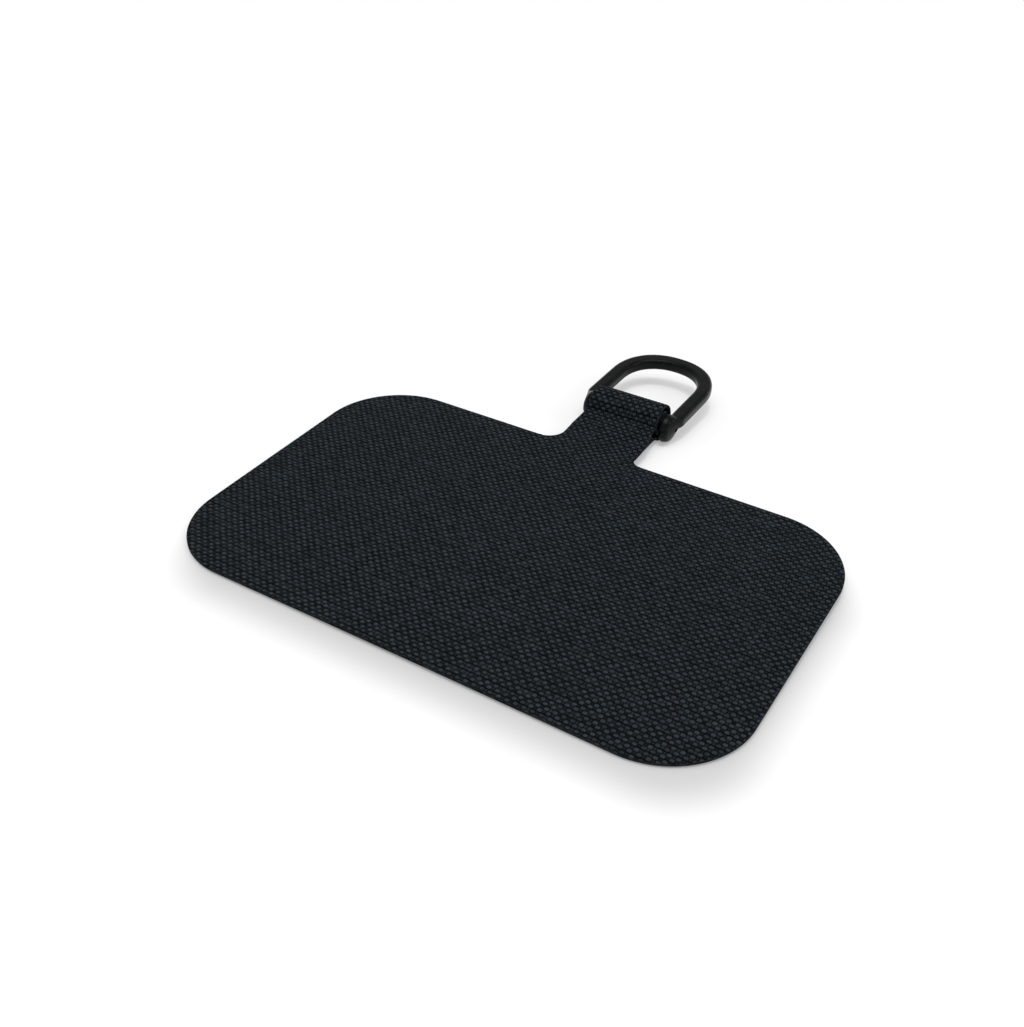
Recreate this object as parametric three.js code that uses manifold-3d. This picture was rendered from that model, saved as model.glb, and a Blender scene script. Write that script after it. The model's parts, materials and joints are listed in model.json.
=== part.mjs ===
// Cloth tether tab for a phone case, with a metal D-ring swinging on a pin in its folded end.
// Millimetres, +Z up. The tab lies as it rests on a table: on its front edge and on its loop.
// The origin is the middle of the whole part, on the table. The loop is at +Y.

import * as THREE from 'three';
import { mergeVertices } from 'three/addons/utils/BufferGeometryUtils.js';
import Module from 'manifold-3d';

// Cloth patch
const patchWidth = 65;
const patchLength = 40.3;
const patchCornerRadius = 9.4;
const clothThickness = 0.42;

// Neck, from the patch's back edge to the loop
const neckWidth = 10;
const neckOffset = -1.15;
const neckFilletLeft = 2.2;
const neckFilletRight = 1.4;
const neckStraightLength = 4.4;
const riseStart = 1.5;
const riseSoftness = 2.4;

// Loop of cloth round the pin, measured from the patch's back edge and its upper face
const pinDistance = 9.45;
const pinHeight = 0.6;
const loopWidth = 9.2;
const loopPlay = 0.35;
const creaseAngle = 171;
const nipAngle = 222;
const flapLength = 5.6;
const nipFoldLength = 2.4;

// Pin, thick in the loop and thin in the ears
const pinRadius = 1.53;
const pinEndRadius = 0.9;
const shoulderClearance = 0.3;
const pinHeadInset = 0.1;
const socketRadius = 0.35;
const socketDepth = 0.45;

// D-ring
const barWidth = 1.72;
const barThickness = 1.52;
const barEdgeRadius = 0.48;
const earSideClearance = 0.25;
const legLength = 7.34;
const bowHeight = 5.89;
const bowFullness = 2.2;
const earRadius = 2.25;
const earFaceRadius = 1.6;
const earBevelWidth = 0.6;
const earThickness = 1.07;
const earBoreClearance = 0.3;
const earBlendThickness = 0.8;
const earBlendLength = 3.6;
const legTaperStart = 1.2;
const legTaperEnd = 3.7;
const ringOffset = 0.07;
const ringLift = 1.87;
const ringSkew = -1.44;

const cornerSegments = 12;
const roundSegments = 40;
const bowSegments = 32;
const bevelSteps = 4;
const overlap = 1;

const loopInnerRadius = pinRadius + loopPlay;
const loopOuterRadius = loopInnerRadius + clothThickness;
const ringInnerWidth = loopWidth + 2 * earSideClearance;
const pinShoulderLength = ringInnerWidth - 2 * shoulderClearance;
const ringHalfWidth = ringInnerWidth / 2 + barWidth / 2;
const earOuterFace = ringInnerWidth / 2 + earThickness;
const neckLeft = neckOffset - neckWidth / 2;
const neckRight = neckOffset + neckWidth / 2;

const wasm = await Module();
wasm.setup();

function toSolid(geometry) {
  geometry.deleteAttribute('normal');
  geometry.deleteAttribute('uv');
  const merged = mergeVertices(geometry, 1e-5);
  return new wasm.Manifold(new wasm.Mesh({
    numProp: 3,
    vertProperties: new Float32Array(merged.attributes.position.array),
    triVerts: new Uint32Array(merged.index.array),
  }));
}

function toGeometry(solid) {
  const mesh = solid.getMesh();
  const geometry = new THREE.BufferGeometry();
  geometry.setAttribute('position', new THREE.BufferAttribute(mesh.vertProperties, 3));
  geometry.setIndex(new THREE.BufferAttribute(mesh.triVerts, 1));
  geometry.computeVertexNormals();
  return geometry;
}

// A flat outline becomes a prism: standing along Z, or lying along X with the outline in Y and Z.
function standingPrism(shape, bottom, top) {
  const options = { depth: top - bottom, bevelEnabled: false, curveSegments: cornerSegments };
  return new THREE.ExtrudeGeometry(shape, options).translate(0, 0, bottom);
}

function lyingPrism(shape, left, right, segments = roundSegments) {
  const options = { depth: right - left, bevelEnabled: false, curveSegments: segments };
  const alongX = new THREE.Matrix4().makeBasis(
    new THREE.Vector3(0, 1, 0), new THREE.Vector3(0, 0, 1), new THREE.Vector3(1, 0, 0));
  return new THREE.ExtrudeGeometry(shape, options).applyMatrix4(alongX).translate(left, 0, 0);
}

const degrees = THREE.MathUtils.degToRad;

// The cloth's outline seen from above: patch, neck and loop, cut in one piece.
function tabOutline() {
  const side = patchWidth / 2;
  const corner = patchCornerRadius;
  const loopLeft = neckOffset - loopWidth / 2;
  const loopRight = neckOffset + loopWidth / 2;
  const loopFront = pinDistance - loopOuterRadius;
  const end = pinDistance + loopOuterRadius + overlap;
  const shape = new THREE.Shape();
  shape.moveTo(-side + corner, -patchLength);
  shape.lineTo(side - corner, -patchLength);
  shape.absarc(side - corner, corner - patchLength, corner, -Math.PI / 2, 0);
  shape.lineTo(side, -corner);
  shape.absarc(side - corner, -corner, corner, 0, Math.PI / 2);
  shape.lineTo(neckRight + neckFilletRight, 0);
  shape.absarc(neckRight + neckFilletRight, neckFilletRight, neckFilletRight, -Math.PI / 2, -Math.PI, true);
  shape.lineTo(neckRight, neckStraightLength);
  shape.lineTo(loopRight, loopFront);
  shape.lineTo(loopRight, end);
  shape.lineTo(loopLeft, end);
  shape.lineTo(loopLeft, loopFront);
  shape.lineTo(neckLeft, neckStraightLength);
  shape.lineTo(neckLeft, neckFilletLeft);
  shape.absarc(neckLeft - neckFilletLeft, neckFilletLeft, neckFilletLeft, 0, -Math.PI / 2, true);
  shape.lineTo(-side + corner, 0);
  shape.absarc(-side + corner, -corner, corner, Math.PI / 2, Math.PI);
  shape.lineTo(-side, corner - patchLength);
  shape.absarc(-side + corner, corner - patchLength, corner, Math.PI, Math.PI * 1.5);
  return shape;
}

function onLoop(angle) {
  const turn = degrees(angle);
  const y = pinDistance + loopOuterRadius * Math.cos(turn);
  const z = pinHeight + loopOuterRadius * Math.sin(turn);
  return new THREE.Vector2(y, z);
}

// The cloth's section in Y and Z: flat, rising to the crease, round the pin, and back to the nip.
function clothSection() {
  const crease = onLoop(creaseAngle);
  const nip = onLoop(nipAngle);
  const slope = crease.y / (crease.x - riseStart);
  const section = new THREE.Shape();
  section.moveTo(-patchLength - overlap, -clothThickness);
  section.lineTo(nip.x - nipFoldLength, -clothThickness);
  section.lineTo(nip.x, nip.y);
  section.absarc(
    pinDistance, pinHeight, loopOuterRadius, degrees(nipAngle), degrees(creaseAngle) + 2 * Math.PI);
  section.bezierCurveTo(
    crease.x - riseSoftness / 2, crease.y - slope * riseSoftness / 2,
    riseStart + riseSoftness, 0,
    riseStart, 0);
  section.lineTo(-patchLength - overlap, 0);
  return section;
}

// The cloth's end comes back from the nip and is bonded under the neck.
function flapSection() {
  const nip = onLoop(nipAngle);
  const flapEnd = nip.x - flapLength;
  const section = new THREE.Shape();
  section.moveTo(flapEnd, -2 * clothThickness);
  section.quadraticCurveTo(nip.x - nipFoldLength, -2 * clothThickness, nip.x, nip.y);
  section.lineTo(pinDistance - loopInnerRadius, pinHeight - clothThickness);
  section.lineTo(nip.x - nipFoldLength, -clothThickness / 2);
  section.lineTo(flapEnd, -clothThickness / 2);
  return section;
}

function tabSheet() {
  const reach = loopOuterRadius * 2;
  const side = patchWidth / 2 + overlap;
  const plan = toSolid(standingPrism(tabOutline(), -reach, reach));
  const cloth = plan.intersect(toSolid(lyingPrism(clothSection(), -side, side)));
  const flap = toSolid(lyingPrism(flapSection(), neckOffset - loopWidth / 2, neckOffset + loopWidth / 2));
  const pinHole = new THREE.CylinderGeometry(loopInnerRadius, loopInnerRadius, patchWidth, roundSegments)
    .rotateZ(Math.PI / 2).translate(0, pinDistance, pinHeight);
  return toGeometry(cloth.add(flap).subtract(toSolid(pinHole)));
}

// Half of the ring's bow, as points from the right leg to the left one.
function bowPoints(halfWidth, height) {
  const points = [];
  for (let step = 0; step <= bowSegments; step += 1) {
    const angle = (Math.PI * step) / bowSegments;
    const across = Math.sign(Math.cos(angle)) * Math.abs(Math.cos(angle)) ** (2 / bowFullness);
    const along = Math.sin(angle) ** (2 / bowFullness);
    points.push(new THREE.Vector2(halfWidth * across, legLength + height * along));
  }
  return points;
}

// The ring is laid out in its own plane, with the pin along X through its origin.
function ringBar() {
  const outer = ringHalfWidth + barWidth / 2;
  const inner = ringInnerWidth / 2;
  const shape = new THREE.Shape();
  shape.moveTo(inner, 0);
  shape.lineTo(earOuterFace, 0);
  shape.lineTo(earOuterFace, legTaperStart);
  shape.lineTo(outer, legTaperEnd);
  for (const point of bowPoints(outer, bowHeight + barWidth / 2)) {
    shape.lineTo(point.x, point.y);
  }
  shape.lineTo(-outer, legTaperEnd);
  shape.lineTo(-earOuterFace, legTaperStart);
  shape.lineTo(-earOuterFace, 0);
  shape.lineTo(-inner, 0);
  for (const point of bowPoints(inner, bowHeight - barWidth / 2).reverse()) {
    shape.lineTo(point.x, point.y);
  }
  const geometry = new THREE.ExtrudeGeometry(shape, {
    depth: barThickness - 2 * barEdgeRadius,
    bevelThickness: barEdgeRadius,
    bevelSize: barEdgeRadius,
    bevelOffset: -barEdgeRadius,
    bevelSegments: 3,
  });
  return geometry.translate(0, 0, barEdgeRadius - barThickness / 2);
}

// An ear is a disc on the pin's axis, with a rounded outer edge.
function earDisc() {
  const rimAlong = earOuterFace - earBevelWidth;
  const profile = [new THREE.Vector2(0, ringInnerWidth / 2), new THREE.Vector2(earRadius, ringInnerWidth / 2)];
  for (let step = 0; step <= bevelSteps; step += 1) {
    const turn = (Math.PI / 2) * (step / bevelSteps);
    const radius = earFaceRadius + (earRadius - earFaceRadius) * Math.cos(turn);
    profile.push(new THREE.Vector2(radius, rimAlong + earBevelWidth * Math.sin(turn)));
  }
  profile.push(new THREE.Vector2(0, earOuterFace));
  return new THREE.LatheGeometry(profile, roundSegments).rotateZ(-Math.PI / 2);
}

// Behind the disc, the ear runs out along the leg.
function earBlendOutline() {
  const leg = barThickness / 2 - barEdgeRadius / 2;
  const reach = Math.hypot(earBlendLength, leg);
  const tangent = Math.acos(earRadius / reach) + Math.atan2(leg, earBlendLength);
  const shape = new THREE.Shape();
  shape.absarc(0, 0, earRadius, tangent, 2 * Math.PI - tangent);
  shape.lineTo(earBlendLength, -leg);
  shape.lineTo(earBlendLength, leg);
  return shape;
}

function dRing() {
  const boreRadius = pinEndRadius + earBoreClearance;
  const inner = ringInnerWidth / 2;
  const blendOuter = inner + earBlendThickness;
  const bore = new THREE.CylinderGeometry(boreRadius, boreRadius, 2 * (earOuterFace + overlap), roundSegments)
    .rotateZ(Math.PI / 2);
  return toGeometry(toSolid(ringBar())
    .add(toSolid(earDisc()))
    .add(toSolid(earDisc().rotateZ(Math.PI)))
    .add(toSolid(lyingPrism(earBlendOutline(), inner, blendOuter)))
    .add(toSolid(lyingPrism(earBlendOutline(), -blendOuter, -inner)))
    .subtract(toSolid(bore)));
}

// The pin is turned: a thick middle in the loop, thin ends in the ears, and a socket in its right end.
function ringPin() {
  const end = earOuterFace - pinHeadInset;
  const shoulder = pinShoulderLength / 2;
  const profile = [
    [0, end - socketDepth],
    [socketRadius, end - socketDepth],
    [socketRadius, end],
    [pinEndRadius, end],
    [pinEndRadius, shoulder],
    [pinRadius, shoulder],
    [pinRadius, -shoulder],
    [pinEndRadius, -shoulder],
    [pinEndRadius, -end],
    [0, -end],
  ].map(([radius, along]) => new THREE.Vector2(radius, along)).reverse();
  const lathe = new THREE.LatheGeometry(profile, roundSegments).rotateZ(-Math.PI / 2);
  return toGeometry(toSolid(lathe));
}

function piece(name, geometry, material) {
  const mesh = new THREE.Mesh(geometry, material);
  mesh.name = name;
  return mesh;
}

const charcoalWeave = new THREE.MeshStandardMaterial({ color: '#20262f', roughness: 0.9, metalness: 0 });
const blackFinish = new THREE.MeshStandardMaterial({ color: '#0c0e10', roughness: 0.38, metalness: 0.4 });
const blackSteel = new THREE.MeshStandardMaterial({ color: '#15171a', roughness: 0.32, metalness: 0.7 });

const ring = new THREE.Group();
ring.add(piece('d_ring', dRing(), blackFinish));
ring.add(piece('ring_pin', ringPin(), blackSteel));
ring.position.set(neckOffset + ringOffset, pinDistance, pinHeight);
ring.rotation.set(degrees(ringLift), 0, degrees(ringSkew), 'ZYX');

// The front edge and the loop touch the table, which tilts the patch a little.
const edgeToPin = new THREE.Vector2(patchLength + pinDistance, pinHeight + clothThickness);
const restTilt = Math.asin(loopOuterRadius / edgeToPin.length()) - edgeToPin.angle();

const strapTab = new THREE.Group();
strapTab.add(piece('tab_sheet', tabSheet(), charcoalWeave));
strapTab.add(ring);
strapTab.rotation.x = restTilt;
strapTab.updateMatrixWorld(true);

const bounds = new THREE.Box3().setFromObject(strapTab, true);
const middle = bounds.getCenter(new THREE.Vector3());
strapTab.position.set(-middle.x, -middle.y, -bounds.min.z);

export default strapTab;
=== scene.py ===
import json
import math

import bmesh
import bpy
from mathutils import Matrix, Vector, noise


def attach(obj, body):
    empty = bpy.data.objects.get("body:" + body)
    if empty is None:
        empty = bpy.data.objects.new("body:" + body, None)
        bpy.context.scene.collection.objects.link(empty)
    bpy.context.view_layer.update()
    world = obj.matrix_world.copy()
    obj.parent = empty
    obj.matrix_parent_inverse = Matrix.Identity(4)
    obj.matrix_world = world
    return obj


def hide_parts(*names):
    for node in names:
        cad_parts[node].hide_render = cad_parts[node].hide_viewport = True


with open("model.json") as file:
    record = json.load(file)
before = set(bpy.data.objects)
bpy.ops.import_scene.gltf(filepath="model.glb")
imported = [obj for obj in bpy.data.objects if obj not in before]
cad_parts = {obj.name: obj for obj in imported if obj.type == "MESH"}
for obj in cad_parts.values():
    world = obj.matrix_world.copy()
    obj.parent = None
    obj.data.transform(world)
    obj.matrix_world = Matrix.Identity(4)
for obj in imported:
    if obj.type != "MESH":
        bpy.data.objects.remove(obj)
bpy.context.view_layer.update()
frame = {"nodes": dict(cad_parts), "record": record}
print("frame loaded:", sorted(frame["nodes"]))

# All sizes are in millimetres and degrees, and every mesh is scaled to metres when it is placed.
mm = 0.001

# The patch's length fixes where the cloth's own frame has its origin, and the ring's lift turns its plane.
patchLength = 40.3
ringLift = 1.87


def clothFrame():
    # The patch's upper face gives the cloth's plane. Its own origin is the middle of the patch's back edge.
    face = next(m for m in frame["record"]["mounts"] if m["name"] == "phone_face")
    up = Vector(face["axis"]).normalized()
    across = Vector((1, 0, 0))
    along = up.cross(across).normalized()
    origin = Vector(face["pos_m"]) + along * patchLength / 2 * mm
    place = Matrix((across, along, up)).transposed().to_4x4()
    place.translation = origin
    return place @ Matrix.Scale(mm, 4)


def ringFrame():
    hinge = frame["record"]["behaviour"]["joints"][0]
    across = Vector(hinge["axis"]).normalized()
    up = clothFrame().to_3x3().normalized() @ Vector((0, 0, 1))
    flat = up.cross(across).normalized()
    along = Matrix.Rotation(math.radians(ringLift), 3, across) @ flat
    place = Matrix((across, along, across.cross(along))).transposed().to_4x4()
    place.translation = Vector(hinge["pos_m"])
    return place @ Matrix.Scale(mm, 4)


def makeObject(name, vertices, faces, place):
    mesh = bpy.data.meshes.new(name)
    mesh.from_pydata([place @ Vector(v) for v in vertices], [], faces)
    mesh.validate()
    mesh.update()
    piece = bpy.data.objects.new(name, mesh)
    bpy.context.scene.collection.objects.link(piece)
    return piece


def applyModifier(piece, kind, **settings):
    modifier = piece.modifiers.new(kind.lower(), kind)
    for key, value in settings.items():
        setattr(modifier, key, value)
    depsgraph = bpy.context.evaluated_depsgraph_get()
    mesh = bpy.data.meshes.new_from_object(piece.evaluated_get(depsgraph))
    piece.modifiers.clear()
    old = piece.data
    piece.data = mesh
    bpy.data.meshes.remove(old)


def tidyFaces(piece):
    # Many-sided faces are split here, so that the renderer and the export split them in the same way
    tidy = bmesh.new()
    tidy.from_mesh(piece.data)
    large = [face for face in tidy.faces if len(face.verts) > 4]
    bmesh.ops.triangulate(tidy, faces=large, ngon_method="EAR_CLIP")
    bmesh.ops.recalc_face_normals(tidy, faces=tidy.faces)
    tidy.to_mesh(piece.data)
    tidy.free()


def smoothShade(piece, angle=None):
    for polygon in piece.data.polygons:
        polygon.use_smooth = True
    if angle is not None:
        piece.data.set_sharp_from_angle(angle=math.radians(angle))


# Camera, placed in the cloth's own frame
camera = dict(
    location=(52.62, -104.67, 76.78), yaw=31.76, pitch=36.20, roll=0.33, focal=1184.5, imageHeight=1027,
    sensorWidth=36, nearClip=0.005, farClip=10,
)


def makeCamera():
    data = bpy.data.cameras.new("camera")
    data.sensor_width = camera["sensorWidth"]
    data.lens = camera["focal"] / camera["imageHeight"] * data.sensor_width
    data.clip_start = camera["nearClip"]
    data.clip_end = camera["farClip"]
    eye = bpy.data.objects.new("camera", data)
    bpy.context.scene.collection.objects.link(eye)
    turn = (
        Matrix.Rotation(math.radians(camera["yaw"]), 4, "Z")
        @ Matrix.Rotation(math.radians(90 - camera["pitch"]), 4, "X")
        @ Matrix.Rotation(math.radians(camera["roll"]), 4, "Z")
    )
    cloth = clothFrame()
    place = cloth.to_3x3().normalized().to_4x4() @ turn
    place.translation = cloth @ Vector(camera["location"])
    eye.matrix_world = place
    bpy.context.scene.camera = eye


makeCamera()
print("camera placed")


# Shader expressions
class Value:
    # One output socket of a node, which adds Math nodes when it is used in an expression
    def __init__(self, tree, socket):
        self.tree = tree
        self.socket = socket

    def math(self, operation, *operands):
        return self.tree.node("ShaderNodeMath", dict(operation=operation), (self, *operands))

    def output(self, name):
        return Value(self.tree, self.socket.node.outputs[name])

    def __add__(self, other):
        return self.math("ADD", other)

    __radd__ = __add__

    def __mul__(self, other):
        return self.math("MULTIPLY", other)

    __rmul__ = __mul__

    def __sub__(self, other):
        return self.math("SUBTRACT", other)

    def __rsub__(self, other):
        return self.tree.node("ShaderNodeMath", dict(operation="SUBTRACT"), (other, self))

    def __truediv__(self, other):
        return self.math("DIVIDE", other)

    def ramp(self, low, high):
        # 0 below low, 1 above high, and smooth between
        settings = dict(interpolation_type="SMOOTHSTEP")
        inputs = {"Value": self, "From Min": low, "From Max": high}
        return self.tree.node("ShaderNodeMapRange", settings, inputs)


class Tree:
    def __init__(self, owner):
        owner.use_nodes = True
        owner.node_tree.nodes.clear()
        self.nodes = owner.node_tree.nodes
        self.links = owner.node_tree.links

    def node(self, kind, settings=None, inputs=None, output=0):
        made = self.nodes.new(kind)
        for key, value in (settings or {}).items():
            setattr(made, key, value)
        pairs = inputs.items() if isinstance(inputs, dict) else enumerate(inputs or ())
        for key, value in pairs:
            self.feed(made.inputs[key], value)
        if made.outputs:
            return Value(self, made.outputs[output])

    def feed(self, socket, value):
        if isinstance(value, Value):
            self.links.new(value.socket, socket)
        elif isinstance(value, tuple) and len(value) == 3 and socket.type == "RGBA":
            socket.default_value = (*value, 1)
        else:
            socket.default_value = value

    def mixColour(self, factor, first, second, blend="MIX"):
        settings = dict(data_type="RGBA", blend_type=blend)
        return self.node("ShaderNodeMix", settings, {0: factor, 6: first, 7: second}, output=2)

    def noise(self, vector, scale, detail=2.0, roughness=0.5):
        inputs = {"Vector": vector, "Scale": scale, "Detail": detail, "Roughness": roughness}
        return self.node("ShaderNodeTexNoise", {}, inputs)

    def speckle(self, dimensions, **inputs):
        return self.node("ShaderNodeTexWhiteNoise", dict(noise_dimensions=dimensions), inputs)

    def vector(self, x, y, z=0.0):
        return self.node("ShaderNodeCombineXYZ", {}, (x, y, z))


def linear(*channels):
    # A colour as it is seen on a screen, 0 to 255, as the shader's own numbers
    return tuple(((c / 255 + 0.055) / 1.055) ** 2.4 if c > 10 else c / 255 / 12.92 for c in channels)


# The cloth: patch, neck, loop round the pin, and the end that comes back under the neck
tab = dict(
    patchWidth=65, patchLength=patchLength, cornerRadius=9.4, thickness=0.42,
    neckWidth=10, neckOffset=-1.15, filletLeft=2.2, filletRight=1.4, neckStraight=4.4,
    riseStart=1.5, riseSoftness=2.4,
    pinDistance=9.45, pinHeight=0.6, loopRadius=2.3, loopWidth=9.2,
    creaseAngle=171, nipAngle=222, flapLength=5.6, foldRadius=0.22,
    warpPitch=0.45, weftPitch=0.465, yarnRelief=0.03, pairDip=0.5,
    crown=0.16, crownFade=5, unevenness=0.06, edgeBulge=0.025, edgeRound=0.09,
)


def sectionPath(step=0.02):
    # The cloth's middle surface seen from the side, as points in Y and Z a fixed step apart
    half = tab["thickness"] / 2
    radius = tab["loopRadius"]
    centre = Vector((tab["pinDistance"], tab["pinHeight"]))

    def onLoop(angle, distance):
        turn = math.radians(angle)
        return centre + Vector((math.cos(turn), math.sin(turn))) * distance

    crease = onLoop(tab["creaseAngle"], radius)
    nip = onLoop(tab["nipAngle"], radius)
    slope = crease.y / (crease.x - tab["riseStart"])
    start = Vector((tab["riseStart"], 0))
    handles = (
        start,
        start + Vector((tab["riseSoftness"], 0)),
        crease - Vector((1, slope)) * tab["riseSoftness"] / 2,
        crease,
    )
    down = Vector((0, -half))
    raw = [Vector((-tab["patchLength"], -half))]
    for k in range(33):
        t = k / 32
        weights = ((1 - t) ** 3, 3 * t * (1 - t) ** 2, 3 * t * t * (1 - t), t ** 3)
        raw.append(sum((w * h for w, h in zip(weights, handles)), Vector((0, 0))) + down)
    first = tab["creaseAngle"] - 8
    last = tab["nipAngle"] - 360
    for k in range(97):
        raw.append(onLoop(first + (last - first) * k / 96, radius - half))
    flapHeight = -1.5 * tab["thickness"]
    raw.append(Vector((nip.x - 0.5, flapHeight)))
    raw.append(Vector((nip.x - tab["flapLength"], flapHeight)))
    dense = [raw[0]]
    for target in raw[1:]:
        while (target - dense[-1]).length > step:
            dense.append(dense[-1] + (target - dense[-1]).normalized() * step)
    reach = round(tab["foldRadius"] / step)
    flatCount = round((tab["patchLength"] - 1) / step)
    smooth = []
    for k, point in enumerate(dense):
        span = min(reach, k, len(dense) - 1 - k)
        if k < flatCount:
            smooth.append(point)
        else:
            near = dense[k - span:k + span + 1]
            smooth.append(sum(near, Vector((0, 0))) / len(near))
    return smooth


class Section:
    # Turns a distance along the cloth, 0 at the patch's back edge, into a place and a normal
    def __init__(self):
        self.points = sectionPath()
        self.along = [-tab["patchLength"]]
        for a, b in zip(self.points, self.points[1:]):
            self.along.append(self.along[-1] + (b - a).length)
        self.end = self.along[-1]
        self.cursor = 0

    def at(self, distance):
        distance = min(max(distance, self.along[0]), self.end)
        k = self.cursor
        while k > 0 and self.along[k] > distance:
            k -= 1
        while k < len(self.along) - 2 and self.along[k + 1] < distance:
            k += 1
        self.cursor = k
        a, b = self.points[k], self.points[k + 1]
        t = (distance - self.along[k]) / (self.along[k + 1] - self.along[k])
        low = self.points[max(0, k - 3)]
        high = self.points[min(len(self.points) - 1, k + 4)]
        tangent = (high - low).normalized()
        return a.lerp(b, t), Vector((-tangent.y, tangent.x))


section = Section()


def clothEdges(distance):
    # Left and right ends of the cloth's row at a distance along it
    if distance <= 0:
        radius = tab["cornerRadius"]
        inward = max(0, distance + radius, radius - tab["patchLength"] - distance)
        half = tab["patchWidth"] / 2 - radius + math.sqrt(max(0, radius ** 2 - inward ** 2))
        return -half, half
    loopFront = tab["pinDistance"] - tab["loopRadius"]
    narrow = (distance - tab["neckStraight"]) / (loopFront - tab["neckStraight"])
    half = tab["neckWidth"] / 2
    half += (tab["loopWidth"] / 2 - half) * min(max(narrow, 0), 1)
    left = tab["neckOffset"] - half
    right = tab["neckOffset"] + half
    for side, fillet in ((-1, tab["filletLeft"]), (1, tab["filletRight"])):
        if distance < fillet:
            flare = fillet - math.sqrt(fillet ** 2 - (fillet - distance) ** 2)
            left -= flare if side < 0 else 0
            right += flare if side > 0 else 0
    return left, right


def edgePointsBetween(low, high, side, spacing=0.3):
    # Extra points on the outline between two rows, where it runs nearly along them
    start, end = clothEdges(low)[side], clothEdges(high)[side]
    if low == 0:
        start = backEdgeKnots()[side]
    count = max(1, math.ceil(abs(end - start) / spacing))
    found = []
    for k in range(1, count):
        target = start + (end - start) * k / count
        a, b = low + 1e-9, high
        for _ in range(30):
            middle = (a + b) / 2
            if (clothEdges(middle)[side] - target) * (end - start) < 0:
                a = middle
            else:
                b = middle
        found.append((target, middle))
    return found


def backEdgeKnots():
    left = tab["neckOffset"] - tab["neckWidth"] / 2 - tab["filletLeft"]
    right = tab["neckOffset"] + tab["neckWidth"] / 2 + tab["filletRight"]
    return left, right


def clothRows():
    # Rows of points across the cloth. Columns and rows fall on the yarns' crossings and between them.
    across = tab["warpPitch"] / 2
    along = tab["weftPitch"] / 2
    count = round(tab["patchLength"] / along)
    distances = [-tab["patchLength"] + k * along for k in range(count)] + [0.0]
    fine = along / 2
    distances += [k * fine for k in range(1, int(section.end / fine))] + [section.end]
    rows = []
    for distance in distances:
        left, right = clothEdges(distance)
        gap = across * 0.35
        first = math.ceil((left + gap) / across)
        last = math.floor((right - gap) / across)
        columns = [k * across for k in range(first, last + 1)]
        if distance == 0:
            for knot in backEdgeKnots():
                columns = [x for x in columns if abs(x - knot) > gap] + [knot]
            columns.sort()
        rows.append((distance, [left] + columns + [right]))
    return rows


def weaveHeight(x, distance):
    # Plain weave: high at each crossing, low at the corners between four, deeper between the pairs of rows
    column, row = round(x / tab["warpPitch"]), round(distance / tab["weftPitch"])
    across = x / tab["warpPitch"] - column
    along = distance / tab["weftPitch"] - row
    pair = tab["pairDip"] if along * (1 if row % 2 == 0 else -1) > 0.25 else 0
    return 1 - 3 * across ** 2 - (4 + 4 * pair) * along ** 2


def clothPoint(x, distance, depth):
    middle, normal = section.at(distance)
    fade = min(1, max(0, 1 - distance / tab["crownFade"]))
    rise = tab["crown"] * fade * (1 - (2 * x / tab["patchWidth"]) ** 2)
    if distance < 0:
        swell = 0.5 + 0.5 * noise.noise(Vector((x * 0.06, distance * 0.06, 3)))
        rise += tab["unevenness"] * min(1, -distance / 6) * swell
    return Vector((x, middle.x + normal.x * depth, middle.y + normal.y * depth + rise))


def fillBands(rows, ids, sides, stride):
    # Faces between every two rows that are kept, with the outline's points taken in at both ends
    faces = []
    last = len(rows) - 1
    neckStart = next(k for k, (distance, _) in enumerate(rows) if distance == 0)
    kept = list(range(neckStart, 0, -stride))[::-1] + list(range(neckStart + stride, last, stride))
    kept = [0] + kept + [last]
    across = tab["warpPitch"] / 2

    def thin(index):
        pairs = list(zip(rows[index][1], ids[index]))
        if stride == 1 or index in (0, neckStart, last):
            return pairs
        return [pairs[0]] + [p for p in pairs[1:-1] if round(p[0] / across) % stride == 0] + [pairs[-1]]

    for lowIndex, highIndex in zip(kept, kept[1:]):
        low, high = thin(lowIndex), thin(highIndex)
        if lowIndex == neckStart:
            left, right = backEdgeKnots()
            low = [pair for pair in low if left - 1e-6 <= pair[0] <= right + 1e-6]
        shared = sorted({x for x, _ in low[1:-1]} & {x for x, _ in high[1:-1]})
        lowAt = {x: k for k, (x, _) in enumerate(low)}
        highAt = {x: k for k, (x, _) in enumerate(high)}
        for a, b in zip(shared, shared[1:]):
            bottom = [i for _, i in low[lowAt[a]:lowAt[b] + 1]]
            top = [i for _, i in high[highAt[a]:highAt[b] + 1]]
            faces.append(bottom + top[::-1])
        for side in (0, 1):
            between = []
            for index in range(lowIndex, highIndex):
                between += sides[side][index]
                if index + 1 < highIndex:
                    between.append(ids[index + 1][-side])
            shut = shared[-side]
            if side == 0:
                bottom = [i for _, i in low[:lowAt[shut] + 1]]
                top = [i for _, i in high[:highAt[shut] + 1]]
                faces.append(bottom + top[::-1] + between[::-1])
            else:
                bottom = [i for _, i in low[lowAt[shut]:]]
                top = [i for _, i in high[highAt[shut]:]]
                faces.append(bottom + between + top[::-1])
    return faces


def outlineOf(faces):
    directed = {(a, b) for face in faces for a, b in zip(face, face[1:] + face[:1])}
    onward = {a: b for a, b in directed if (b, a) not in directed}
    loop = [min(onward)]
    while onward[loop[-1]] != loop[0]:
        loop.append(onward[loop[-1]])
    return loop


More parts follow.
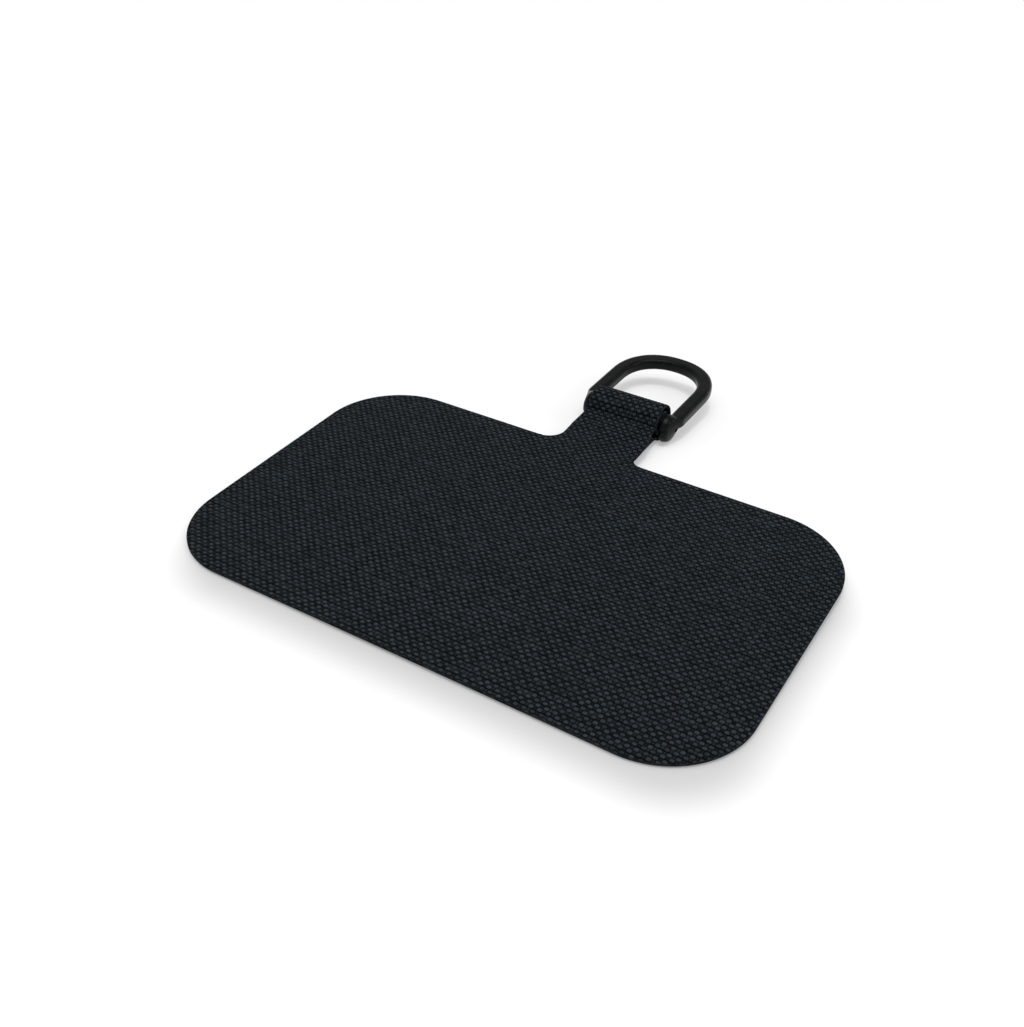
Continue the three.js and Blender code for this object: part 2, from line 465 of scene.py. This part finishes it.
def makeCloth():
    half = tab["thickness"] / 2
    rows = clothRows()
    flat, ids = [], []
    for distance, columns in rows:
        ids.append(list(range(len(flat), len(flat) + len(columns))))
        flat += [(x, distance) for x in columns]
    sides = ([], [])
    for low, high in zip(rows, rows[1:]):
        for side in (0, 1):
            points = edgePointsBetween(low[0], high[0], side)
            sides[side].append(list(range(len(flat), len(flat) + len(points))))
            flat += points
    upperFaces = fillBands(rows, ids, sides, 1)
    lowerFaces = fillBands(rows, ids, sides, 2)
    loop = outlineOf(upperFaces)
    onEdge = set(loop)

    vertices, coordinates, allFaces = [], [], []

    def addLayer(faces, side, relief):
        used = sorted({i for face in faces for i in face}, key=lambda k: flat[k][1])
        place = {}
        for k in used:
            x, distance = flat[k]
            depth = half - tab["edgeRound"] / 2
            if k not in onEdge:
                depth = half + relief * (weaveHeight(x, distance) - 1)
            place[k] = len(vertices)
            vertices.append(clothPoint(x, distance, side * depth))
            coordinates.append((x, distance, 0))
        for face in faces:
            allFaces.append([place[i] for i in (face if side > 0 else face[::-1])])
        return [place[k] for k in loop]

    # The cut edge stands a little proud between its two rounded corners
    rings = [addLayer(upperFaces, 1, tab["yarnRelief"])]
    for level in (half - tab["edgeRound"], 0, tab["edgeRound"] - half):
        ring = []
        for k, here in enumerate(loop):
            before, after = Vector(flat[loop[k - 1]]), Vector(flat[loop[(k + 1) % len(loop)]])
            out = Vector(((after - before).y, -(after - before).x)).normalized() * tab["edgeBulge"]
            x, distance = flat[here]
            ring.append(len(vertices))
            vertices.append(clothPoint(x + out.x, distance, level) + Vector((0, out.y, 0)) * (distance < 0.5))
            coordinates.append((x, distance, 1))
        rings.append(ring)
    rings.append(addLayer(lowerFaces, -1, 0))
    for upper, lower in zip(rings, rings[1:]):
        for k in range(len(loop)):
            after = (k + 1) % len(loop)
            allFaces.append([upper[after], upper[k], lower[k], lower[after]])

    piece = makeObject("woven_tab", vertices, allFaces, clothFrame())
    coordinate = piece.data.attributes.new("clothCoordinate", "FLOAT_VECTOR", "POINT")
    for item, value in zip(coordinate.data, coordinates):
        item.vector = value
    tidyFaces(piece)
    smoothShade(piece)
    return piece


# The ring, in its own plane: the pin lies along X, the bow is at +Y
ring = dict(
    innerWidth=9.7, barWidth=1.85, barThickness=1.52, barCorner=0.5,
    legLength=7.34, bowHeight=5.89, bowFullness=2.2,
    earRadius=1.76, earFaceRadius=1.2, earBevel=0.95, earThickness=1.07,
    earForward=0.12, earDrop=0.55, blendLength=0.8, taperStart=-0.6, taperEnd=1.6,
    boreRadius=0.93, boreWall=0.35, markAcross=0.38, markDrop=0.62, markRadius=0.28, markDepth=0.3,
    voxel=0.08, smoothing=5,
)


def legEdge(along):
    # The leg's outer side narrows to the ear's outer face
    inner = ring["innerWidth"] / 2
    t = (along - ring["taperStart"]) / (ring["taperEnd"] - ring["taperStart"])
    t = min(max(t, 0), 1)
    return inner + ring["earThickness"] + (ring["barWidth"] - ring["earThickness"]) * t * t * (3 - 2 * t)


def ringPairs():
    # Pairs of outer and inner points round the bar, from the right ear to the left one
    inner = ring["innerWidth"] / 2
    outer = inner + ring["barWidth"]
    power = 2 / ring["bowFullness"]

    def bow(angle, inset):
        halfWidth = outer - inset
        height = ring["bowHeight"] + ring["barWidth"] / 2 - inset
        across = math.copysign(abs(math.cos(angle)) ** power, math.cos(angle)) * halfWidth
        return Vector((across, ring["legLength"] + height * math.sin(angle) ** power))

    pairs = []
    legSteps, bowSteps = 40, 96
    for k in range(legSteps):
        along = ring["legLength"] * k / legSteps
        pairs.append((Vector((legEdge(along), along)), Vector((inner, along))))
    for k in range(bowSteps + 1):
        angle = math.pi * k / bowSteps
        pairs.append((bow(angle, 0), bow(angle, ring["barWidth"])))
    for a, b in reversed(pairs[:legSteps]):
        pairs.append((Vector((-a.x, a.y)), Vector((-b.x, b.y))))
    return pairs


def barSection(outerPoint, innerPoint, cornerSteps=6):
    # The bar's rounded section where it lies between two points
    corner = ring["barCorner"]
    halfHeight = ring["barThickness"] / 2 - corner
    middle = (outerPoint + innerPoint) / 2
    across = (outerPoint - innerPoint).normalized()
    halfWidth = (outerPoint - innerPoint).length / 2 - corner
    points = []
    for quarter in range(4):
        signAcross = 1 if quarter in (0, 3) else -1
        signUp = 1 if quarter < 2 else -1
        for k in range(cornerSteps + 1):
            turn = math.pi / 2 * (quarter + k / cornerSteps)
            flat = middle + across * (signAcross * halfWidth + corner * math.cos(turn))
            points.append((flat.x, flat.y, signUp * halfHeight + corner * math.sin(turn)))
    return points


def earPoints(side):
    # A turned disc with a rounded rim, a little under the pin, and the bar's section at the foot of the leg
    inner = ring["innerWidth"] / 2
    face = inner + ring["earThickness"]
    profile = [(ring["earRadius"] - 0.1, inner), (ring["earRadius"], inner + 0.1)]
    for k in range(9):
        turn = math.pi / 2 * k / 8
        radius = ring["earFaceRadius"] + (ring["earRadius"] - ring["earFaceRadius"]) * math.cos(turn)
        profile.append((radius, face - ring["earBevel"] * (1 - math.sin(turn))))
    disc = lathe([(radius, side * along) for radius, along in profile], 96)[0]
    points = [(x, y + ring["earForward"], z - ring["earDrop"]) for x, y, z in disc]
    outer = Vector((side * legEdge(ring["blendLength"]), ring["blendLength"]))
    return points + barSection(outer, Vector((side * inner, ring["blendLength"])))


def convexHull(name, points):
    hull = bmesh.new()
    for point in points:
        hull.verts.new(point)
    bmesh.ops.convex_hull(hull, input=hull.verts)
    loose = [vertex for vertex in hull.verts if not vertex.link_faces]
    bmesh.ops.delete(hull, geom=loose, context="VERTS")
    mesh = bpy.data.meshes.new(name)
    hull.to_mesh(mesh)
    hull.free()
    return mesh


def makeRing():
    vertices, faces = [], []
    pairs = ringPairs()
    for outerPoint, innerPoint in pairs:
        vertices += barSection(outerPoint, innerPoint)
    size = len(vertices) // len(pairs)
    for k in range(len(pairs) - 1):
        for j in range(size):
            after = (j + 1) % size
            faces.append([k * size + j, (k + 1) * size + j, (k + 1) * size + after, k * size + after])
    faces.append(list(range(size)))
    faces.append([(len(pairs) - 1) * size + j for j in reversed(range(size))])
    piece = makeObject("d_ring_bar", vertices, faces, Matrix())
    joined = bmesh.new()
    joined.from_mesh(piece.data)
    for side in (1, -1):
        ear = convexHull("ear", earPoints(side))
        joined.from_mesh(ear)
        bpy.data.meshes.remove(ear)
    bmesh.ops.recalc_face_normals(joined, faces=joined.faces)
    joined.to_mesh(piece.data)
    joined.free()
    applyModifier(piece, "REMESH", mode="VOXEL", voxel_size=ring["voxel"])
    applyModifier(piece, "SMOOTH", factor=0.5, iterations=ring["smoothing"])
    # The bores are blind: each ear's outer face is closed
    radius = ring["boreRadius"]
    end = ring["innerWidth"] / 2 + ring["earThickness"] - ring["boreWall"]
    bore = makeObject("bore", *lathe([(0, -end), (radius, -end), (radius, end), (0, end)], 64), Matrix())
    applyModifier(piece, "BOOLEAN", operation="DIFFERENCE", object=bore, solver="EXACT")
    bpy.data.objects.remove(bore)
    cutMark(piece)
    piece.data.transform(ringFrame())
    smoothShade(piece, 38)
    return piece


def cutMark(piece):
    # The small recess in the right ear's outer face
    face = ring["innerWidth"] / 2 + ring["earThickness"]
    radius = ring["markRadius"]
    profile = [(0, face - ring["markDepth"]), (radius * 0.75, face - ring["markDepth"] * 0.8)]
    profile += [(radius, face), (radius, face + 1), (0, face + 1)]
    shift = Matrix.Translation((0, ring["markAcross"], -ring["markDrop"]))
    mark = makeObject("mark", *lathe(profile, 32), shift)
    applyModifier(piece, "BOOLEAN", operation="DIFFERENCE", object=mark, solver="EXACT")
    bpy.data.objects.remove(mark)


def lathe(profile, steps):
    # Turns a profile of (radius, place along X) about X into a mesh
    vertices, faces = [], []
    rings = []
    for radius, along in profile:
        rings.append([len(vertices)] if radius == 0 else list(range(len(vertices), len(vertices) + steps)))
        for k in range(len(rings[-1])):
            turn = 2 * math.pi * k / steps
            vertices.append((along, radius * math.cos(turn), radius * math.sin(turn)))
    for a, b in zip(rings, rings[1:]):
        for k in range(steps):
            after = (k + 1) % steps
            corners = [a[k % len(a)], a[after % len(a)], b[after % len(b)], b[k % len(b)]]
            faces.append([c for n, c in enumerate(corners) if c not in corners[:n]])
    return vertices, faces


pin = dict(radius=1.53, endRadius=0.9, shoulder=9.1, inset=0.38, chamfer=0.06)


def makePin():
    end = ring["innerWidth"] / 2 + ring["earThickness"] - pin["inset"]
    shoulder = pin["shoulder"] / 2
    thin = pin["endRadius"]
    cut = pin["chamfer"]
    half = [
        (0, end), (thin - cut, end), (thin, end - cut), (thin, shoulder),
        (pin["radius"] - cut, shoulder), (pin["radius"], shoulder - cut),
    ]
    profile = half + [(radius, -along) for radius, along in reversed(half)]
    piece = makeObject("pin", *lathe(profile, 64), Matrix())
    tidyFaces(piece)
    piece.data.transform(ringFrame())
    smoothShade(piece, 35)
    return piece


# Finishes
# The weave's near-black is painted shade, which darkens the hollows between the yarns.
weave = dict(
    yarnLight=linear(49, 57, 63), yarnDark=linear(10, 14, 17), pitShade=linear(1, 2, 3),
    edgeLight=linear(44, 48, 52), edgeDark=linear(13, 15, 17),
    # The weft's extra lightness is a painted sheen, from how the light falls on its crossings.
    wander=0.4, cellContrast=0.42, rowContrast=0.08, fibreContrast=0.65, weftPaintedSheen=0.36, warpSink=0.45,
    baseLevel=0.34, patchContrast=0.2, heightScatter=0.35, pairDepth=0.55, plainDepth=0.75,
    roughness=0.85, fibreSheen=0.25, fibreRelief=0.6, specular=0.07, bumpStrength=0.7, bumpDistance=0.00009,
)


def clothFinish():
    material = bpy.data.materials.new("charcoal_weave")
    tree = Tree(material)
    place = tree.node("ShaderNodeAttribute", dict(attribute_name="clothCoordinate"), output="Vector")
    parts = tree.node("ShaderNodeSeparateXYZ", {}, (place,))
    x, along, edge = parts, parts.output("Y"), parts.output("Z")

    # Yarns wander a little from their straight lines, and vary in thickness
    drift = tree.noise(tree.vector(x * 0.3, along), 0.5) - 0.5
    driftToo = tree.noise(tree.vector(x * 0.25, along, 7.0), 0.7) - 0.5
    across = x / tab["warpPitch"] + drift * weave["wander"]
    down = along / tab["weftPitch"] + driftToo * weave["wander"]
    column = across.math("ROUND")
    row = down.math("ROUND")
    offAcross = across - column
    offDown = down - row
    weft = (column + row).math("FLOORED_MODULO", 2.0)
    warp = 1 - weft

    # Height within a crossing: it dips at the yarn's sides and ends, and more between pairs of rows.
    # The warp's crossings lie lower than the weft's.
    sideDown = offDown * (1 - row.math("FLOORED_MODULO", 2.0) * 2)
    paired = sideDown.math("GREATER_THAN", 0.0) * weave["pairDepth"] + weave["plainDepth"]
    dipAcross = offAcross * offAcross * 4.0
    dipDown = offDown * offDown * 4.0 * paired
    cell = tree.speckle("2D", Vector=tree.vector(column, row))
    cellOther = tree.speckle("3D", Vector=tree.vector(column, row, 4.0))
    height = 1 - dipAcross * (weft * 0.35 + warp * 0.8) - dipDown * (weft * 1.1 + warp * 0.8)
    height = height + (cellOther - 0.5) * weave["heightScatter"] - warp * weave["warpSink"]

    # Each yarn has its own depth of colour, and its fibres run along it
    columnTone = tree.speckle("1D", W=column)
    rowTone = tree.speckle("1D", W=row + 0.37)
    warpFibre = tree.noise(tree.vector(x * 9.0, along * 1.6, 1.0), 2.2, 3.0, 0.6)
    weftFibre = tree.noise(tree.vector(x * 1.6, along * 9.0, 2.0), 2.2, 3.0, 0.6)
    fibre = warpFibre * warp + weftFibre * weft - 0.5
    patches = tree.noise(tree.vector(x, along * 1.6), 0.16, 3.0, 0.55) - 0.5

    tone = (columnTone * warp + rowTone * weft - 0.5) * weave["rowContrast"]
    level = (cell - 0.5) * weave["cellContrast"] + tone + fibre * weave["fibreContrast"]
    # The weft's crossings are painted lighter than the warp's. This is a painted sheen.
    level = level + patches * weave["patchContrast"] + weave["baseLevel"] + weft * weave["weftPaintedSheen"]
    yarn = tree.mixColour(level.ramp(-0.15, 1.1), weave["yarnDark"], weave["yarnLight"])
    # Low places in the weave are mixed towards near-black. This is painted shade in the hollows between the
    # yarns, and it also paints the warp's lower crossings darker.
    woven = tree.mixColour(height.ramp(-0.25, 0.75), weave["pitShade"], yarn)
    cutTone = tree.noise(tree.vector(x, along, 9.0), 1.4, 2.0)
    cut = tree.mixColour(cutTone.ramp(0.3, 0.7), weave["edgeDark"], weave["edgeLight"])
    colour = tree.mixColour(edge.ramp(0.3, 0.8), woven, cut)

    relief = (height + fibre * weave["fibreRelief"]) * (1 - edge)
    normal = tree.node("ShaderNodeBump", {}, {
        "Strength": weave["bumpStrength"], "Distance": weave["bumpDistance"], "Height": relief,
    })
    roughness = weave["roughness"] - fibre * weave["fibreSheen"]
    surface = tree.node("ShaderNodeBsdfPrincipled", {}, {
        "Base Color": colour, "Roughness": roughness, "Normal": normal,
        "Specular IOR Level": weave["specular"],
    })
    tree.node("ShaderNodeOutputMaterial", {}, (surface,))
    return material


metal = dict(worn=linear(70, 74, 77), specular=0.12, mottleSheen=0.16, grainSheen=0.1, grainBump=0.00002)


def metalFinish(name, dark, light, roughness, wear):
    material = bpy.data.materials.new(name)
    tree = Tree(material)
    place = tree.node("ShaderNodeTexCoord", output="Object")
    millimetres = tree.node("ShaderNodeVectorMath", dict(operation="SCALE"), {0: place, "Scale": 1000.0})
    mottle = tree.noise(millimetres, 0.9, 3.0, 0.6)
    grain = tree.noise(millimetres, 14.0, 2.0, 0.5)
    rub = tree.node("ShaderNodeNewGeometry", output="Pointiness").ramp(0.52, 0.58)
    colour = tree.mixColour(mottle.ramp(0.35, 0.7), dark, light)
    colour = tree.mixColour(rub * mottle.ramp(0.4, 0.6) * wear, colour, metal["worn"])
    sheen = roughness + (mottle - 0.5) * metal["mottleSheen"] + (grain - 0.5) * metal["grainSheen"]
    normal = tree.node("ShaderNodeBump", {}, {
        "Strength": 0.1, "Distance": metal["grainBump"], "Height": grain,
    })
    surface = tree.node("ShaderNodeBsdfPrincipled", {}, {
        "Base Color": colour, "Roughness": sheen, "Normal": normal,
        "Specular IOR Level": metal["specular"],
    })
    tree.node("ShaderNodeOutputMaterial", {}, (surface,))
    return material


cloth = makeCloth()
cloth.data.materials.append(clothFinish())
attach(cloth, "tab")
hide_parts("tab_sheet")
print("cloth:", len(cloth.data.polygons), "faces, end of the cloth at", round(section.end, 2), "mm")

ringPiece = makeRing()
ringPiece.data.materials.clear()
ringPiece.data.materials.append(metalFinish("black_finish", linear(5, 6, 6), linear(11, 13, 14), 0.25, 0.4))
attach(ringPiece, "ring")
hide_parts("d_ring")
print("ring:", len(ringPiece.data.polygons), "faces")

pinPiece = makePin()
pinPiece.data.materials.append(metalFinish("black_steel", linear(11, 12, 13), linear(22, 24, 25), 0.28, 0.3))
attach(pinPiece, "ring")
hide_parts("ring_pin")
print("pin:", len(pinPiece.data.polygons), "faces")


# Floor, light and background
studio = dict(
    floorColour=0.9, glow=0.3, whiteFrom=70, whiteTo=130,
    shadeDepth=0.33, shadeShift=(2.4, -3.9), shadeFrom=-3.6, shadeTo=2.2,
    ambient=0.62, reflectedSky=0.45, horizonFrom=0.12, horizonTo=0.4, floorReach=2000,
)


def seenRays(tree):
    # 1 for camera, glossy and transmission rays
    path = tree.node("ShaderNodeLightPath", output="Is Camera Ray")
    mirrored = (path.output("Is Glossy Ray") + path.output("Is Transmission Ray")).math("MINIMUM", 1.0)
    return path, mirrored


def floorShade(tree, x, y):
    # The photo's shadow is wider than a sheet this thin casts, so the floor carries it.
    # It is 1 under the patch and 0 outside.
    halfWidth = tab["patchWidth"] / 2 - tab["cornerRadius"]
    halfLength = tab["patchLength"] / 2 - tab["cornerRadius"]
    middle = clothFrame() @ Vector((0, -tab["patchLength"] / 2, 0)) / mm
    outX = (x - middle.x - studio["shadeShift"][0]).math("ABSOLUTE") - halfWidth
    outY = (y - middle.y - studio["shadeShift"][1]).math("ABSOLUTE") - halfLength
    outX = outX.math("MAXIMUM", 0.0)
    outY = outY.math("MAXIMUM", 0.0)
    reach = (outX * outX + outY * outY).math("SQRT") - tab["cornerRadius"]
    return 1 - reach.ramp(studio["shadeFrom"], studio["shadeTo"])


def makeFloor():
    reach = studio["floorReach"]
    corners = [(-reach, -reach, 0), (reach, -reach, 0), (reach, reach, 0), (-reach, reach, 0)]
    floor = makeObject("floor", corners, [[0, 1, 2, 3]], Matrix.Scale(mm, 4))
    tree = Tree(bpy.data.materials.new("floor"))
    place = tree.node("ShaderNodeTexCoord", output="Object")
    parts = tree.node("ShaderNodeSeparateXYZ", {}, (place,))
    x, y = parts * 1000.0, parts.output("Y") * 1000.0
    shade = 1 - floorShade(tree, x, y) * studio["shadeDepth"]
    away = (x * x + y * y).math("SQRT").ramp(studio["whiteFrom"], studio["whiteTo"])
    camera, mirrored = seenRays(tree)
    share = (camera + mirrored).math("MINIMUM", 1.0) * (studio["glow"] + away * (1 - studio["glow"]))
    colour = tree.mixColour(shade, (0.0, 0.0, 0.0), (studio["floorColour"],) * 3)
    matte = tree.node("ShaderNodeBsdfDiffuse", {}, {"Color": colour})
    glow = tree.node("ShaderNodeEmission", {}, {"Color": (1.0, 1.0, 1.0), "Strength": shade})
    both = tree.node("ShaderNodeMixShader", {}, (share, matte, glow))
    tree.node("ShaderNodeOutputMaterial", {}, (both,))
    floor.data.materials.append(bpy.data.materials["floor"])


def makeWorld():
    # White to the camera. Reflections see the white backdrop low down and a dim room above it.
    world = bpy.data.worlds.new("studio")
    bpy.context.scene.world = world
    tree = Tree(world)
    direction = tree.node("ShaderNodeTexCoord", output="Generated")
    height = tree.node("ShaderNodeSeparateXYZ", {}, (direction,), output="Z")
    sky = 1 - height.ramp(studio["horizonFrom"], studio["horizonTo"]) * (1 - studio["reflectedSky"])
    camera, mirrored = seenRays(tree)
    others = mirrored * sky + (1 - mirrored) * studio["ambient"]
    strength = camera + (1 - camera) * others
    back = tree.node("ShaderNodeBackground", {}, {"Color": (1.0, 1.0, 1.0), "Strength": strength})
    tree.node("ShaderNodeOutputWorld", {}, (back,))


def makeLamp(name, location, size, power):
    data = bpy.data.lights.new(name, "AREA")
    data.shape = "DISK"
    data.size = size
    data.energy = power
    lamp = bpy.data.objects.new(name, data)
    lamp.location = location
    lamp.rotation_euler = (-Vector(location)).to_track_quat("-Z", "Y").to_euler()
    bpy.context.scene.collection.objects.link(lamp)


makeFloor()
makeWorld()
makeLamp("overhead", (0.02, -0.02, 0.5), 0.5, 1.0)
makeLamp("spark", (0.02, -0.02, 0.5), 0.06, 0.45)
makeLamp("side", (0.5, 0.1, 0.35), 0.2, 0.35)
bpy.context.scene.view_settings.view_transform = "Standard"
print("floor, world and lamps made")

patchArea = tab["patchWidth"] * tab["patchLength"] - (4 - math.pi) * tab["cornerRadius"] ** 2
neckArea = tab["neckWidth"] * tab["neckStraight"] + tab["loopWidth"] * (section.end - tab["neckStraight"])
(patchArea + neckArea) * mm * mm
